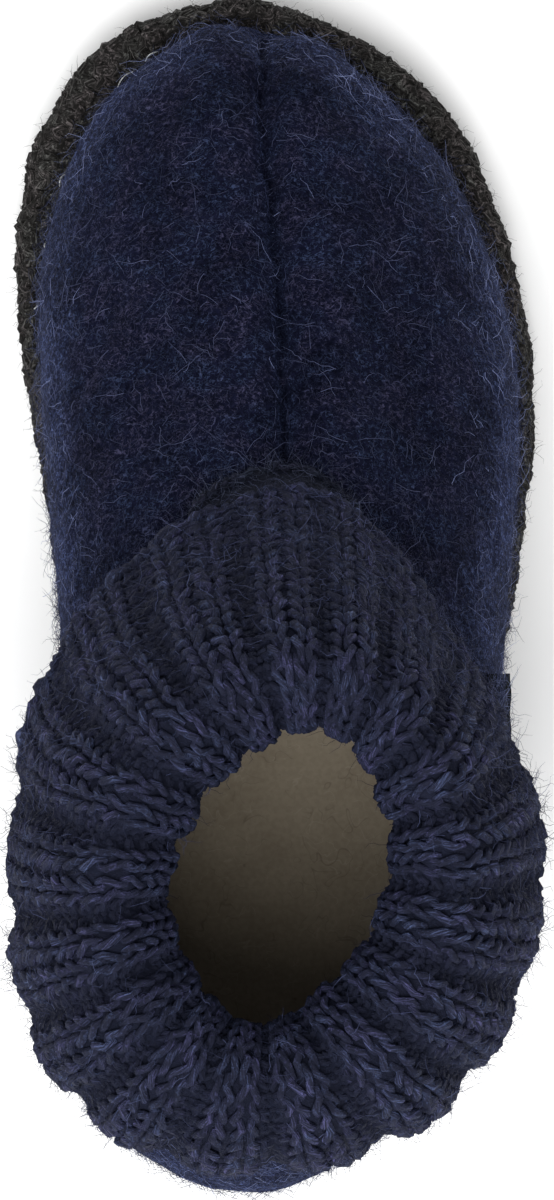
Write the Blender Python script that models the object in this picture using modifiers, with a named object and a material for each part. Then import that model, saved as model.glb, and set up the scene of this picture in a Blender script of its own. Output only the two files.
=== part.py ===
"""Felted-wool slipper boot, right foot, child's size, with a folded rib-knit cuff.

Toe towards +Y, lateral side towards +X, sole on Z = 0. Tables are in millimetres.
"""
from math import atan2, pi, radians

import bpy
import numpy as np
from mathutils import Vector

MM = 0.001

# Sole and the layers on it
SOLE_INSET = 0.6        # outsole's edge inside the band's outer line
SOLE_ROUNDING = 0.8
INSOLE_ROUNDING = 0.7
INSOLE_EASE = 0.4       # beyond the usual gap, between insole and felt
SOLE_THICKNESS = 3.0
INSOLE_THICKNESS = 3.0
FELT_WALL = 3.0
KNIT_WALL = 2.6
GAP = 0.3
BAND_HEIGHT = 8.6
TOE_SPRING = 3.2
TOE_BREAK = 46.0        # forefoot is flat back from here
TOE_TIP = 81.0
ARCH_RISE = 1.2
ARCH_FRONT = 6.0        # the arch lies between these two
ARCH_BACK = -36.0

# Stations round the foot, from the seam at the toe by the lateral side, heel and medial side.
# x, y: outer line of sole and band. band: band's thickness. belly: how far the felt wall swells.
# shoulder: height where the wall turns into the vamp. full: how square that turn is.
STATION_COLUMNS = ("x", "y", "band", "belly", "shoulder", "full")
STATIONS = (
    ("seam at toe",      -2.6,  81.0, 3.6, 0.5, 38.0, 3.5),
    ("lateral toe",      12.2,  75.8, 4.3, 0.4, 38.0, 3.5),
    ("little toe",       24.6,  64.2, 4.4, 0.4, 38.0, 3.5),
    ("lateral front",    31.3,  50.0, 3.3, 0.4, 39.0, 3.5),
    ("lateral ball",     35.1,  30.0, 2.6, 1.1, 41.0, 3.3),
    ("lateral middle",   34.6,  14.0, 2.6, 1.3, 43.0, 3.1),
    ("lateral waist",    31.8,  -6.0, 2.6, 1.6, 46.0, 2.8),
    ("lateral quarter",  26.6, -32.0, 2.6, 2.4, 50.0, 2.6),
    ("lateral heel",     20.2, -58.0, 2.4, 4.6, 50.0, 2.6),
    ("heel back",        -4.3, -79.0, 2.4, 5.4, 50.0, 2.6),
    ("medial heel",     -28.8, -58.0, 2.4, 5.0, 50.0, 2.6),
    ("medial quarter",  -28.8, -32.0, 2.6, 2.8, 50.0, 2.6),
    ("medial waist",    -29.4,  -6.0, 2.8, 2.5, 46.0, 2.8),
    ("medial middle",   -32.6,  18.0, 3.0, 2.3, 43.0, 3.1),
    ("medial ball",     -35.9,  42.0, 3.6, 0.8, 40.0, 3.3),
    ("big toe side",    -33.8,  60.0, 5.2, 0.4, 38.0, 3.5),
    ("big toe corner",  -26.0,  73.4, 5.7, 0.4, 38.0, 3.5),
    ("inner toe",       -14.8,  79.8, 4.7, 0.5, 38.0, 3.5),
)

# Felt collar: the oval where the upper ends and the knit shaft begins.
# nose: how far its front narrows
COLLAR_CENTRE = (0.5, -32.0)
COLLAR_MEDIAL = 28.0
COLLAR_LATERAL = 25.6
COLLAR_LENGTH = 34.4    # half of it
COLLAR_NOSE = 0.20
COLLAR_FRONT_HEIGHT = 65.5
COLLAR_SIDE_HEIGHT = 66.0
INSTEP_SLOPE = 1.45
BELLY_FOOT = 11.0       # the wall swells between these heights
BELLY_TOP = 56.0

# Centre-front seam: a trough between two low mounds
SEAM_DEPTH = 2.3
SEAM_WIDTH = 3.0
MOUND_RISE = 0.9
MOUND_OFFSET = 9.0
MOUND_WIDTH = 6.0
SEAM_FADE = 0.125       # share of its length over which it runs out at the collar
BAND_CLEARANCE = 6.0    # height over which it starts, above the band

# Knit: mid-surface rings from the shaft's foot, over the fold, to the hem.
# middle: where the ring is widest. z_corner: height between front and side. wave: height of the ribs.
# lean, lean_back: sideways shift per length, before and behind the middle. nose: as on the collar.
# tail: the same behind the middle; below zero the back corners stand out beyond an oval.
# sway: how far the tip swings to the lateral side and the front corners to the medial side.
RING_COLUMNS = ("medial", "lateral", "front", "middle", "back", "z_front", "z_corner", "z_side",
                "z_back", "wave", "lean", "lean_back", "nose", "tail", "sway")
RINGS = (
    ("foot",   -26.0, 24.6,   0.6, -32.0, -64.8,  67.2,  67.6,  67.9,  67.9, 0.2, 0.00, 0.00, 0.20, -0.19, 0.0),
    ("ankle",  -21.4, 20.6,  -7.4, -33.6, -60.0,  79.0,  78.5,  78.0,  78.0, 0.5, 0.08, 0.04, 0.12,  0.00, 0.0),
    ("throat", -14.9, 15.0, -15.6, -35.4, -55.0,  92.0,  91.5,  91.0,  91.0, 0.6, 0.19, 0.12, 0.13,  0.20, 0.0),
    ("lip",    -15.3, 15.4, -15.0, -35.5, -55.4,  98.8,  98.4,  98.0,  98.0, 0.6, 0.18, 0.12, 0.12,  0.18, 0.0),
    ("crest",  -19.8, 20.0, -10.9, -35.7, -59.5, 103.4, 103.1, 102.8, 102.6, 0.7, 0.13, 0.10, 0.10,  0.02, 0.2),
    ("turn",   -24.4, 24.4,  -6.2, -36.0, -64.5, 100.6, 100.3, 100.0, 101.2, 0.8, 0.08, 0.08, 0.12, -0.12, 0.6),
    ("slope",  -29.2, 29.2,   0.8, -36.0, -69.6,  88.0,  88.2,  89.0,  94.0, 0.9, 0.03, 0.07, 0.17, -0.19, 1.6),
    ("skirt",  -31.9, 32.1,   7.0, -36.0, -72.2,  75.6,  75.6,  74.6,  78.0, 0.9, 0.03, 0.07, 0.22, -0.19, 2.0),
    ("hem",    -33.1, 33.4,  12.0, -36.0, -72.6,  64.6,  65.2,  60.0,  59.6, 0.8, 0.045, 0.07, 0.26, -0.19, 2.4),
)
RIBS = 17
FIRST_RIB = -8.6        # degrees past the toe, to the start of a rib

# Folded tape under the cuff, on the lateral side
TAB_THICKNESS = 1.4
TAB_WIDTH = 8.0
TAB_DROP = 10.0
TAB_ALONG = -14.2       # its middle, along the shoe
TAB_HEIGHT = 51.0       # its middle, above the floor
TAB_ROUNDING = 0.5
TAB_OFF_WALL = 0.9

# How finely the surfaces are drawn
FELT_COLUMNS = 88
FELT_RINGS = 9              # above the band
NUDGE = 0.002               # share to either side when a line's direction is taken
HALVINGS = 24
SEAM_CROWDING = 0.38        # columns lie closer together at the seam
COLUMNS_PER_RIB = 4
KNIT_RINGS = 15
FINE_LINE = 2000            # points on the outer line when the sole's rows are cut
SOLE_ROWS = 26
SOLE_STRIPS = 5
TIP_SHARE = 0.02            # the first and last row lie this share of a row inside the tips
ROUND_STEPS = 2             # faces over a rounded edge
CREASE_ANGLE = 1.0          # only edges sharper than this are rounded, in radians


def smooth_curve(knots, rows, closed):
    """Function for the cubic curve with an even bend through the rows of a table."""
    knots = np.asarray(knots, float)
    rows = np.asarray(rows, float)
    last = len(rows) - 1
    step = np.diff(knots)
    slope = np.diff(rows, axis=0) / step[:, None]
    system = np.zeros((last + 1, last + 1))
    target = np.zeros_like(rows)
    for i in range(1, last):
        system[i, i - 1:i + 2] = step[i], 2 * (step[i - 1] + step[i]), step[i - 1]
        target[i] = 3 * (step[i] * slope[i - 1] + step[i - 1] * slope[i])
    if closed:
        system[0, 0], system[0, last] = 1, -1
        system[last, last - 1] = step[0]
        system[last, last] = 2 * (step[-1] + step[0])
        system[last, 1] = step[-1]
        target[last] = 3 * (step[0] * slope[-1] + step[-1] * slope[0])
    else:
        system[0, :2] = 2, 1
        system[last, last - 1:] = 1, 2
        target[0] = 3 * slope[0]
        target[last] = 3 * slope[-1]
    tangent = np.linalg.solve(system, target)

    def at(place):
        place = np.asarray(place, float)
        i = np.clip(np.searchsorted(knots, place, side="right") - 1, 0, last - 1)
        h = step[i][:, None]
        f = ((place - knots[i]) / step[i])[:, None]
        return ((1 + 2 * f) * (1 - f) ** 2 * rows[i] + f * (1 - f) ** 2 * h * tangent[i]
                + f * f * (3 - 2 * f) * rows[i + 1] - f * f * (1 - f) * h * tangent[i + 1])

    return at


def station_curve():
    """All station columns as one closed curve over the share 0..1 of the way round the foot."""
    rows = np.array([row[1:] for row in STATIONS])
    rows = np.vstack([rows, rows[:1]])
    way = np.concatenate([[0.0], np.cumsum(np.hypot(*np.diff(rows[:, :2], axis=0).T))])
    return smooth_curve(way / way[-1], rows, closed=True)


def lift(y):
    """Height of the sole line above the floor: the arch, then the toe spring."""
    arch_share = np.clip((y - ARCH_BACK) / (ARCH_FRONT - ARCH_BACK), 0, 1)
    toe_share = np.clip((y - TOE_BREAK) / (TOE_TIP - TOE_BREAK), 0, None)
    return ARCH_RISE * np.sin(pi * arch_share) ** 2 + TOE_SPRING * toe_share ** 2


class Foot:
    """The last's stations at the felt's columns, and the felt surface drawn over them."""

    def __init__(self, columns):
        even = np.arange(columns) / columns
        share = even - SEAM_CROWDING * np.sin(2 * pi * even) / (2 * pi)
        curve = station_curve()
        for name, column in zip(STATION_COLUMNS, curve(share).T):
            setattr(self, name, column)
        ahead, behind = curve((share + NUDGE) % 1.0), curve((share - NUDGE) % 1.0)
        along = (ahead - behind)[:, :2]
        along /= np.hypot(*along.T)[:, None]
        self.out_x, self.out_y = -along[:, 1], along[:, 0]
        polar = np.unwrap(np.arctan2(self.x - COLLAR_CENTRE[0], self.y - COLLAR_CENTRE[1]))
        turn = (polar + 2 * pi * share) / 2
        front = np.clip(np.cos(turn), 0, 1)
        side = np.where(np.sin(turn) < 0, COLLAR_MEDIAL, COLLAR_LATERAL) * (1 - COLLAR_NOSE * front ** 2)
        self.collar_x = COLLAR_CENTRE[0] + side * np.sin(turn)
        self.collar_y = COLLAR_CENTRE[1] + COLLAR_LENGTH * np.cos(turn)
        self.collar_z = COLLAR_SIDE_HEIGHT + (COLLAR_FRONT_HEIGHT - COLLAR_SIDE_HEIGHT) * front
        self.base_z = SOLE_THICKNESS + GAP

    def outward(self, inset, height):
        """Ring that lies inset from the sole's outer line, at one height or a height per column."""
        height = np.broadcast_to(height, self.x.shape)
        return np.stack([self.x - self.out_x * inset, self.y - self.out_y * inset, height], axis=1)

    def felt(self, bend):
        """Ring of the felt's outer face: bend 0 is its foot, a quarter turn is the collar."""
        into = 1 - np.cos(bend) ** (2 / self.full)
        rise = np.sin(bend) ** (2 / self.full)
        z = (self.base_z + (self.shoulder - self.base_z) * rise
             + (self.collar_z - self.shoulder) * into ** INSTEP_SLOPE)
        base = self.outward(self.band + GAP, z)
        swell = np.sin(pi * np.clip((z - BELLY_FOOT) / (BELLY_TOP - BELLY_FOOT), 0, 1)) * self.belly
        x = base[:, 0] + (self.collar_x - base[:, 0]) * into + self.out_x * swell
        y = base[:, 1] + (self.collar_y - base[:, 1]) * into + self.out_y * swell
        return np.stack([x, y, z], axis=1)

    def bend_at_height(self, height):
        """Bend at which the felt reaches a height, in each column, found by halving."""
        low, high = np.zeros_like(self.x), np.full_like(self.x, pi / 2)
        for _ in range(HALVINGS):
            middle = (low + high) / 2
            below = self.felt(middle)[:, 2] < height
            low, high = np.where(below, middle, low), np.where(below, high, middle)
        return high

    def band_rings(self):
        """The felt's rings at foot, middle and top of the edge band."""
        heights = self.base_z + BAND_HEIGHT * np.array([0.0, 0.5, 1.0])
        return [self.felt(self.bend_at_height(height)) for height in heights]

    def seam_relief(self, x, y):
        """Depth of the seam's trough and the mounds beside it, for places in plan."""
        share = (self.y[0] - y) / (self.y[0] - self.collar_y[0])
        beside = x - (self.x[0] + (self.collar_x[0] - self.x[0]) * share)
        trough = SEAM_DEPTH * np.exp(-(beside / SEAM_WIDTH) ** 2)
        mound = MOUND_RISE * np.exp(-((np.abs(beside) - MOUND_OFFSET) / MOUND_WIDTH) ** 2)
        forefoot = np.clip((1 - share) / SEAM_FADE, 0, 1)
        return (mound - trough) * forefoot


def ring_faces(rings, columns):
    """Quads between neighbouring closed rings of a sheet."""
    return [(r * columns + c, (r + 1) * columns + c,
             (r + 1) * columns + (c + 1) % columns, r * columns + (c + 1) % columns)
            for r in range(rings - 1) for c in range(columns)]


def surface_normals(sheet):
    """Outward unit normals of a sheet of closed rings, shape (rings, columns, 3)."""
    round_way = np.roll(sheet, -1, axis=1) - np.roll(sheet, 1, axis=1)
    up_way = np.gradient(sheet, axis=0)
    normal = np.cross(up_way, round_way)
    return normal / np.linalg.norm(normal, axis=2)[..., None]


def make_object(name, points, faces, material):
    """Mesh object from points in millimetres, lifted along with the sole line."""
    points = np.array(points, float).reshape(-1, 3)
    points[:, 2] += lift(points[:, 1])
    mesh = bpy.data.meshes.new(name)
    mesh.from_pydata((points * MM).tolist(), [], faces)
    mesh.validate()
    mesh.materials.append(material)
    mesh.shade_smooth()
    piece = bpy.data.objects.new(name, mesh)
    slipper.objects.link(piece)
    return piece


def add_thickness(piece, thickness, offset):
    """Give an open sheet its wall; offset -1 grows inwards, 0 both ways, 1 outwards."""
    shell = piece.modifiers.new("wall", "SOLIDIFY")
    shell.thickness = thickness * MM
    shell.offset = offset
    shell.use_even_offset = False
    shell.use_quality_normals = True


def make_material(name, colour, roughness, metallic=0.0):
    material = bpy.data.materials.new(name)
    material.use_nodes = True
    shader = material.node_tree.nodes["Principled BSDF"]
    shader.inputs["Base Color"].default_value = (*colour, 1.0)
    shader.inputs["Roughness"].default_value = roughness
    shader.inputs["Metallic"].default_value = metallic
    material.diffuse_color = (*colour, 1.0)
    return material


def make_upper(foot, material):
    """Felt shell, open at the collar and underneath."""
    top_of_band = foot.bend_at_height(foot.base_z + BAND_HEIGHT)
    rise = np.linspace(0, 1, FELT_RINGS)[1:]
    sheet = np.stack(foot.band_rings()
                     + [foot.felt(top_of_band + (pi / 2 - top_of_band) * up) for up in rise])
    relief = foot.seam_relief(sheet[..., 0], sheet[..., 1])
    clear_of_band = np.clip((sheet[..., 2] - foot.base_z - BAND_HEIGHT) / BAND_CLEARANCE, 0, 1)
    sheet += surface_normals(sheet) * (relief * clear_of_band)[..., None]
    upper = make_object("upper", sheet, ring_faces(len(sheet), FELT_COLUMNS), material)
    add_thickness(upper, FELT_WALL, -1)
    return upper


def make_band(foot, material):
    """Edge band: its outer face follows the sole's line, its inner face the felt."""
    profile = ((0.10, 0.00), (0.00, 0.38), (0.08, 0.74), (0.42, 1.00))   # share inwards, share up
    rings = [foot.outward(inward * foot.band, foot.base_z + BAND_HEIGHT * up)
             for inward, up in profile]
    outwards = np.stack([foot.out_x, foot.out_y, 0 * foot.x], axis=1)
    rings += [ring + outwards * GAP for ring in reversed(foot.band_rings())]
    corners = len(rings) * FELT_COLUMNS
    faces = [tuple(corner % corners for corner in face)
             for face in ring_faces(len(rings) + 1, FELT_COLUMNS)]
    return make_object("edge_band", np.stack(rings), faces, material)


def sole_sheet(inset):
    """Rows of points across the sole, inside the outer line by what inset(values) gives."""
    curve = station_curve()
    values = curve(np.linspace(0, 1, FINE_LINE, endpoint=False))
    along = np.roll(values[:, :2], -1, axis=0) - np.roll(values[:, :2], 1, axis=0)
    along /= np.hypot(*along.T)[:, None]
    depth = inset(values)
    x = values[:, 0] + along[:, 1] * depth
    y = values[:, 1] - along[:, 0] * depth
    toe, heel = int(np.argmax(y)), int(np.argmin(y))
    lateral = np.arange(toe, heel + 1 + len(x) * (heel < toe)) % len(x)
    medial = np.arange(heel, toe + 1 + len(x) * (toe < heel)) % len(x)
    spread = (1 - np.cos(np.linspace(0, pi, SOLE_ROWS + 1))) / 2
    rows_y = y[heel] + (y[toe] - y[heel]) * spread
    rows_y[0] += TIP_SHARE * (rows_y[1] - rows_y[0])
    rows_y[-1] -= TIP_SHARE * (rows_y[-1] - rows_y[-2])
    right = np.interp(rows_y, y[lateral][::-1], x[lateral][::-1])
    left = np.interp(rows_y, y[medial], x[medial])
    across = np.linspace(0, 1, SOLE_STRIPS + 1)
    grid = np.zeros((SOLE_ROWS + 1, SOLE_STRIPS + 1, 3))
    grid[..., 0] = left[:, None] + (right - left)[:, None] * across
    grid[..., 1] = rows_y[:, None]
    return grid


def make_sole_layer(name, inset, bottom, thickness, round_edge, material):
    """Flat layer of the sole: rows across the foot, given thickness upwards and rounded edges."""
    grid = sole_sheet(inset)
    grid[..., 2] = bottom
    width = SOLE_STRIPS + 1
    faces = [(r * width + c, r * width + c + 1, (r + 1) * width + c + 1, (r + 1) * width + c)
             for r in range(SOLE_ROWS) for c in range(SOLE_STRIPS)]
    layer = make_object(name, grid, faces, material)
    add_thickness(layer, thickness, 1)
    bevel = layer.modifiers.new("round edge", "BEVEL")
    bevel.width = round_edge * MM
    bevel.segments = ROUND_STEPS
    bevel.limit_method = "ANGLE"
    bevel.angle_limit = CREASE_ANGLE
    return layer


def make_cuff(material):
    """Rib-knit shaft and its folded-over cuff as one waved sheet."""
    rows = np.array([row[1:] for row in RINGS])
    rings = smooth_curve(np.arange(len(rows)), rows, closed=False)(
        np.linspace(0, len(rows) - 1, KNIT_RINGS))
    columns = RIBS * COLUMNS_PER_RIB
    turn = (np.arange(columns) + 0.5) * 2 * pi / columns + radians(FIRST_RIB)
    wave = np.where(np.arange(columns) % COLUMNS_PER_RIB < COLUMNS_PER_RIB / 2, 1.0, -1.0)
    sheet = np.zeros((KNIT_RINGS, columns, 3))
    ahead, aside = np.cos(turn), np.sin(turn)
    for r, ring in enumerate(rings):
        at = dict(zip(RING_COLUMNS, ring))
        centre_x = (at["medial"] + at["lateral"]) / 2
        half_width = (at["lateral"] - at["medial"]) / 2
        reach = np.where(ahead > 0, at["front"] - at["middle"], at["middle"] - at["back"])
        to_corner, to_front = at["z_corner"] - at["z_side"], at["z_front"] - at["z_side"]
        front_z = (4 * to_corner - to_front) * ahead ** 2
        front_z += (2 * to_front - 4 * to_corner) * ahead ** 4
        back_z = (at["z_back"] - at["z_side"]) * ahead ** 2
        narrow = 1 - np.where(ahead > 0, at["nose"], at["tail"]) * ahead ** 2
        lean = np.where(ahead > 0, at["lean"], at["lean_back"])
        swing = np.where(ahead > 0, ahead ** 4 - 4 * (ahead * aside) ** 2, 0)
        sheet[r, :, 0] = centre_x + half_width * aside * narrow + lean * reach * ahead
        sheet[r, :, 0] += at["sway"] * swing
        sheet[r, :, 1] = at["middle"] + reach * ahead
        sheet[r, :, 2] = at["z_side"] + np.where(ahead > 0, front_z, back_z)
    wave_height = rings[:, [RING_COLUMNS.index("wave")]]
    sheet -= surface_normals(sheet) * (wave * wave_height)[..., None]    # they point to the hidden side
    cuff = make_object("cuff", sheet, ring_faces(KNIT_RINGS, columns), material)
    add_thickness(cuff, KNIT_WALL, 0)
    return cuff


def make_tab(foot, material):
    """Folded tape that lies against the felt, turned and tilted along the wall."""
    wall = foot.felt(foot.bend_at_height(TAB_HEIGHT))
    column = int(np.argmin(np.where(foot.x > 0, np.abs(wall[:, 1] - TAB_ALONG), np.inf)))
    along = wall[column - 1, :2] - wall[column + 1, :2]
    out = np.array([along[1], -along[0]]) / np.hypot(*along)
    nearby = slice(column + 3, column - 4, -1)
    leaning = [np.interp(TAB_ALONG, ring[nearby, 1], ring[nearby, 0])
               for ring in (foot.felt(foot.bend_at_height(TAB_HEIGHT + end * TAB_DROP / 2))
                            for end in (-1, 1))]
    place = wall[column, :2] + out * (TAB_OFF_WALL + TAB_THICKNESS / 2)
    bpy.ops.mesh.primitive_cube_add(size=MM)
    tab = bpy.context.active_object
    tab.name = tab.data.name = "side_tab"
    for old_collection in tab.users_collection:
        old_collection.objects.unlink(tab)
    slipper.objects.link(tab)
    for vertex in tab.data.vertices:
        vertex.co *= Vector((TAB_THICKNESS, TAB_WIDTH, TAB_DROP))
    tab.rotation_euler = (0, atan2(leaning[1] - leaning[0], TAB_DROP), atan2(out[1], out[0]))
    tab.location = (place[0] * MM, place[1] * MM, TAB_HEIGHT * MM)
    bevel = tab.modifiers.new("round edge", "BEVEL")
    bevel.width = TAB_ROUNDING * MM
    bevel.segments = ROUND_STEPS
    tab.data.materials.append(material)
    return tab


for old in list(bpy.data.objects):
    bpy.data.objects.remove(old, do_unlink=True)
slipper = bpy.data.collections.new("slipper")
bpy.context.scene.collection.children.link(slipper)

rubber = make_material("outsole rubber", (0.020, 0.019, 0.018), 0.75)
band_wool = make_material("charcoal knit", (0.022, 0.020, 0.021), 0.95)
insole_felt = make_material("beige felt", (0.42, 0.36, 0.27), 0.95)
navy_felt = make_material("navy boiled wool", (0.014, 0.016, 0.040), 0.95)
navy_knit = make_material("navy knit", (0.016, 0.018, 0.038), 0.90)
tape = make_material("woven tape", (0.010, 0.011, 0.018), 0.80)

foot = Foot(FELT_COLUMNS)
band_column = STATION_COLUMNS.index("band")
make_sole_layer("outsole", lambda values: SOLE_INSET, 0.0, SOLE_THICKNESS, SOLE_ROUNDING, rubber)
make_sole_layer("insole", lambda values: values[:, band_column] + GAP + FELT_WALL + INSOLE_EASE,
                SOLE_THICKNESS + GAP, INSOLE_THICKNESS, INSOLE_ROUNDING, insole_felt)
make_band(foot, band_wool)
make_upper(foot, navy_felt)
make_cuff(navy_knit)
make_tab(foot, tape)
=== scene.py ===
from math import cos, pi, radians, sin

import bpy
import numpy as np
from mathutils.bvhtree import BVHTree
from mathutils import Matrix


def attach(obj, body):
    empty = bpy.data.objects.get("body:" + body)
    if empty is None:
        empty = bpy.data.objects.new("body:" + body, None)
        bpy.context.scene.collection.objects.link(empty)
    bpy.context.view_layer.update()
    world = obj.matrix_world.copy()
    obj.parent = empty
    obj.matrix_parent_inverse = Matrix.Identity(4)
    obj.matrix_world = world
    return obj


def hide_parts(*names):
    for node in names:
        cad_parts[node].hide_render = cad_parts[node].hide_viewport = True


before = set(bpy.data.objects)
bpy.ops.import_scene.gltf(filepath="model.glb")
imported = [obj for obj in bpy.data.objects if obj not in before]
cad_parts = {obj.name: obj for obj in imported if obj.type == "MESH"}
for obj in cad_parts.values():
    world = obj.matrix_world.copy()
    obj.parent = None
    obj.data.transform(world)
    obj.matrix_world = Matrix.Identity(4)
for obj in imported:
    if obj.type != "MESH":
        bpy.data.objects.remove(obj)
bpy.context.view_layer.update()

mm = 0.001


class Settings(dict):
    # a dictionary whose values are also read as s.name
    __getattr__ = dict.__getitem__


# node trees

class Wire:
    # a socket of a node tree: operators on it add Math nodes, node() adds any other

    def __init__(self, tree, socket=None):
        self.tree = tree
        self.socket = socket

    def node(self, kind, settings=None, values=None, out=0):
        made = self.tree.nodes.new(kind)
        for name, value in (settings or {}).items():
            setattr(made, name, value)
        for name, value in (values or {}).items():
            shown = made.inputs if isinstance(name, int) else [s for s in made.inputs if s.enabled]
            socket = shown[name] if isinstance(name, int) else next(s for s in shown if s.name == name)
            if isinstance(value, Wire):
                self.tree.links.new(value.socket, socket)
            else:
                socket.default_value = value
        shown = [s for s in made.outputs if s.enabled]
        chosen = shown[out] if isinstance(out, int) else next(s for s in shown if s.name == out)
        return Wire(self.tree, chosen)

    def output(self, name):
        # another output of the same node
        return Wire(self.tree, self.socket.node.outputs[name])

    def shape(self, kind, values=None, out=0, **settings):
        # a geometry node by its short name
        return self.node("GeometryNode" + kind, settings, values, out)

    def maths(self, operation, *values):
        return self.node("ShaderNodeMath", {"operation": operation}, dict(enumerate(values)))

    def __pow__(self, other):
        return self.maths("POWER", self, other)

    def __abs__(self):
        return self.maths("ABSOLUTE", self)

    def sine(self):
        return self.maths("SINE", self)

    def cosine(self):
        return self.maths("COSINE", self)

    def between(self, low=0.0, high=1.0):
        return self.node("ShaderNodeClamp", None, {"Value": self, "Min": low, "Max": high})

    def ramp(self, low, high):
        # 0 at low, 1 at high, smooth in between
        return self.node("ShaderNodeMapRange", {"interpolation_type": "SMOOTHSTEP"},
                         {"Value": self, "From Min": low, "From Max": high})

    def blend(self, *colours):
        # two colours mixed by this factor
        first, second = ((*colour, 1) if isinstance(colour, tuple) else colour for colour in colours)
        return self.node("ShaderNodeMix", {"data_type": "RGBA"}, {0: self, 6: first, 7: second}, "Result")

    def vector(self, operation, *values):
        return self.node("ShaderNodeVectorMath", {"operation": operation}, dict(enumerate(values)))

    def joined(self, x, y, z):
        return self.node("ShaderNodeCombineXYZ", None, {"X": x, "Y": y, "Z": z})

    def split(self):
        # the vector's X; output("Y") and output("Z") give the rest
        return self.node("ShaderNodeSeparateXYZ", None, {"Vector": self})

    def scaled(self, amount):
        # the vector times a number
        return self.vector("MULTIPLY", self, self.joined(amount, amount, amount))

    def noise(self, place, scale, detail, out="Fac", **others):
        return self.node("ShaderNodeTexNoise", None,
                         {"Vector": place, "Scale": scale, "Detail": detail, **others}, out)

    def objectPlace(self):
        return self.node("ShaderNodeTexCoord", None, None, "Object")

    def attribute(self, name, out="Fac"):
        # a mesh's attribute in a material
        return self.node("ShaderNodeAttribute", {"attribute_name": name}, None, out)

    def stored(self, name, kind="FLOAT"):
        # a mesh's attribute in a geometry tree
        return self.shape("InputNamedAttribute", {"Name": name}, data_type=kind)

    def store(self, name, value, kind="FLOAT", domain="POINT"):
        # the geometry with one more attribute
        return self.shape("StoreNamedAttribute", {"Geometry": self, "Name": name, "Value": value},
                          data_type=kind, domain=domain)

    def moved(self, **to):
        # the geometry with its points at a Position, or shifted by an Offset
        return self.shape("SetPosition", {"Geometry": self, **to})


# the four sums, both ways round
for sign, operation in (("add", "ADD"), ("sub", "SUBTRACT"), ("mul", "MULTIPLY"), ("truediv", "DIVIDE")):
    setattr(Wire, f"__{sign}__", lambda self, other, kind=operation: self.maths(kind, self, other))
    setattr(Wire, f"__r{sign}__", lambda self, other, kind=operation: self.maths(kind, other, self))


def geometryTree(name, numbers, counts):
    tree = bpy.data.node_groups.new(name, "GeometryNodeTree")
    tree.interface.new_socket("Geometry", in_out="OUTPUT", socket_type="NodeSocketGeometry")
    for kind, labels in (("Geometry", ["Geometry"]), ("Material", ["Material"]),
                         ("Float", numbers), ("Int", counts)):
        for label in labels:
            tree.interface.new_socket(label, in_out="INPUT", socket_type="NodeSocket" + kind)
    start = tree.nodes.new("NodeGroupInput")
    return tree, Settings((socket.name, Wire(tree, socket)) for socket in start.outputs if socket.name)


def endTree(tree, geometry, material):
    geometry = geometry.shape("RealizeInstances", {"Geometry": geometry})
    geometry = geometry.shape("SetMaterial", {"Geometry": geometry, "Material": material})
    end = tree.nodes.new("NodeGroupOutput")
    tree.links.new(geometry.socket, end.inputs[0])


def newObject(name, data):
    made = bpy.data.objects.new(name, data)
    bpy.context.scene.collection.objects.link(made)
    return made


def grown(name, base, tree, material, **sizes):
    # a new piece: what the tree makes from a copy of the base mesh, as a plain mesh
    piece = newObject(name, base.copy())
    modifier = piece.modifiers.new(tree.name, "NODES")
    modifier.node_group = tree
    for item in tree.interface.items_tree:
        if item.in_out == "INPUT" and item.name in sizes:
            modifier[item.identifier] = sizes[item.name]
        elif item.name == "Material":
            modifier[item.identifier] = material
    bpy.context.view_layer.update()
    result = bpy.data.meshes.new_from_object(piece.evaluated_get(bpy.context.evaluated_depsgraph_get()))
    piece.modifiers.remove(modifier)
    piece.data = result
    result.name = name
    print("made", name, sum(len(face.vertices) - 2 for face in result.polygons), "triangles")
    return piece


def newMaterial(name, rough=0.5, gloss=0.5, tint=(1, 1, 1), sheen=0.0, sheenTint=(1, 1, 1)):
    material = bpy.data.materials.new(name)
    material.use_nodes = True
    shader = material.node_tree.nodes["Principled BSDF"]
    for label, value in (("Roughness", rough), ("Specular IOR Level", gloss), ("Specular Tint", (*tint, 1)),
                         ("Sheen Weight", sheen), ("Sheen Tint", (*sheenTint, 1))):
        shader.inputs[label].default_value = value
    return material, shader, Wire(material.node_tree)


def connect(shader, name, wire):
    wire.tree.links.new(wire.socket, shader.inputs[name])


def connectBump(shader, strength, distance, height):
    bump = height.node("ShaderNodeBump", None,
                       {"Strength": strength, "Distance": distance, "Height": height})
    connect(shader, "Normal", bump)


# shape of the foot, in millimetres

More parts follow.
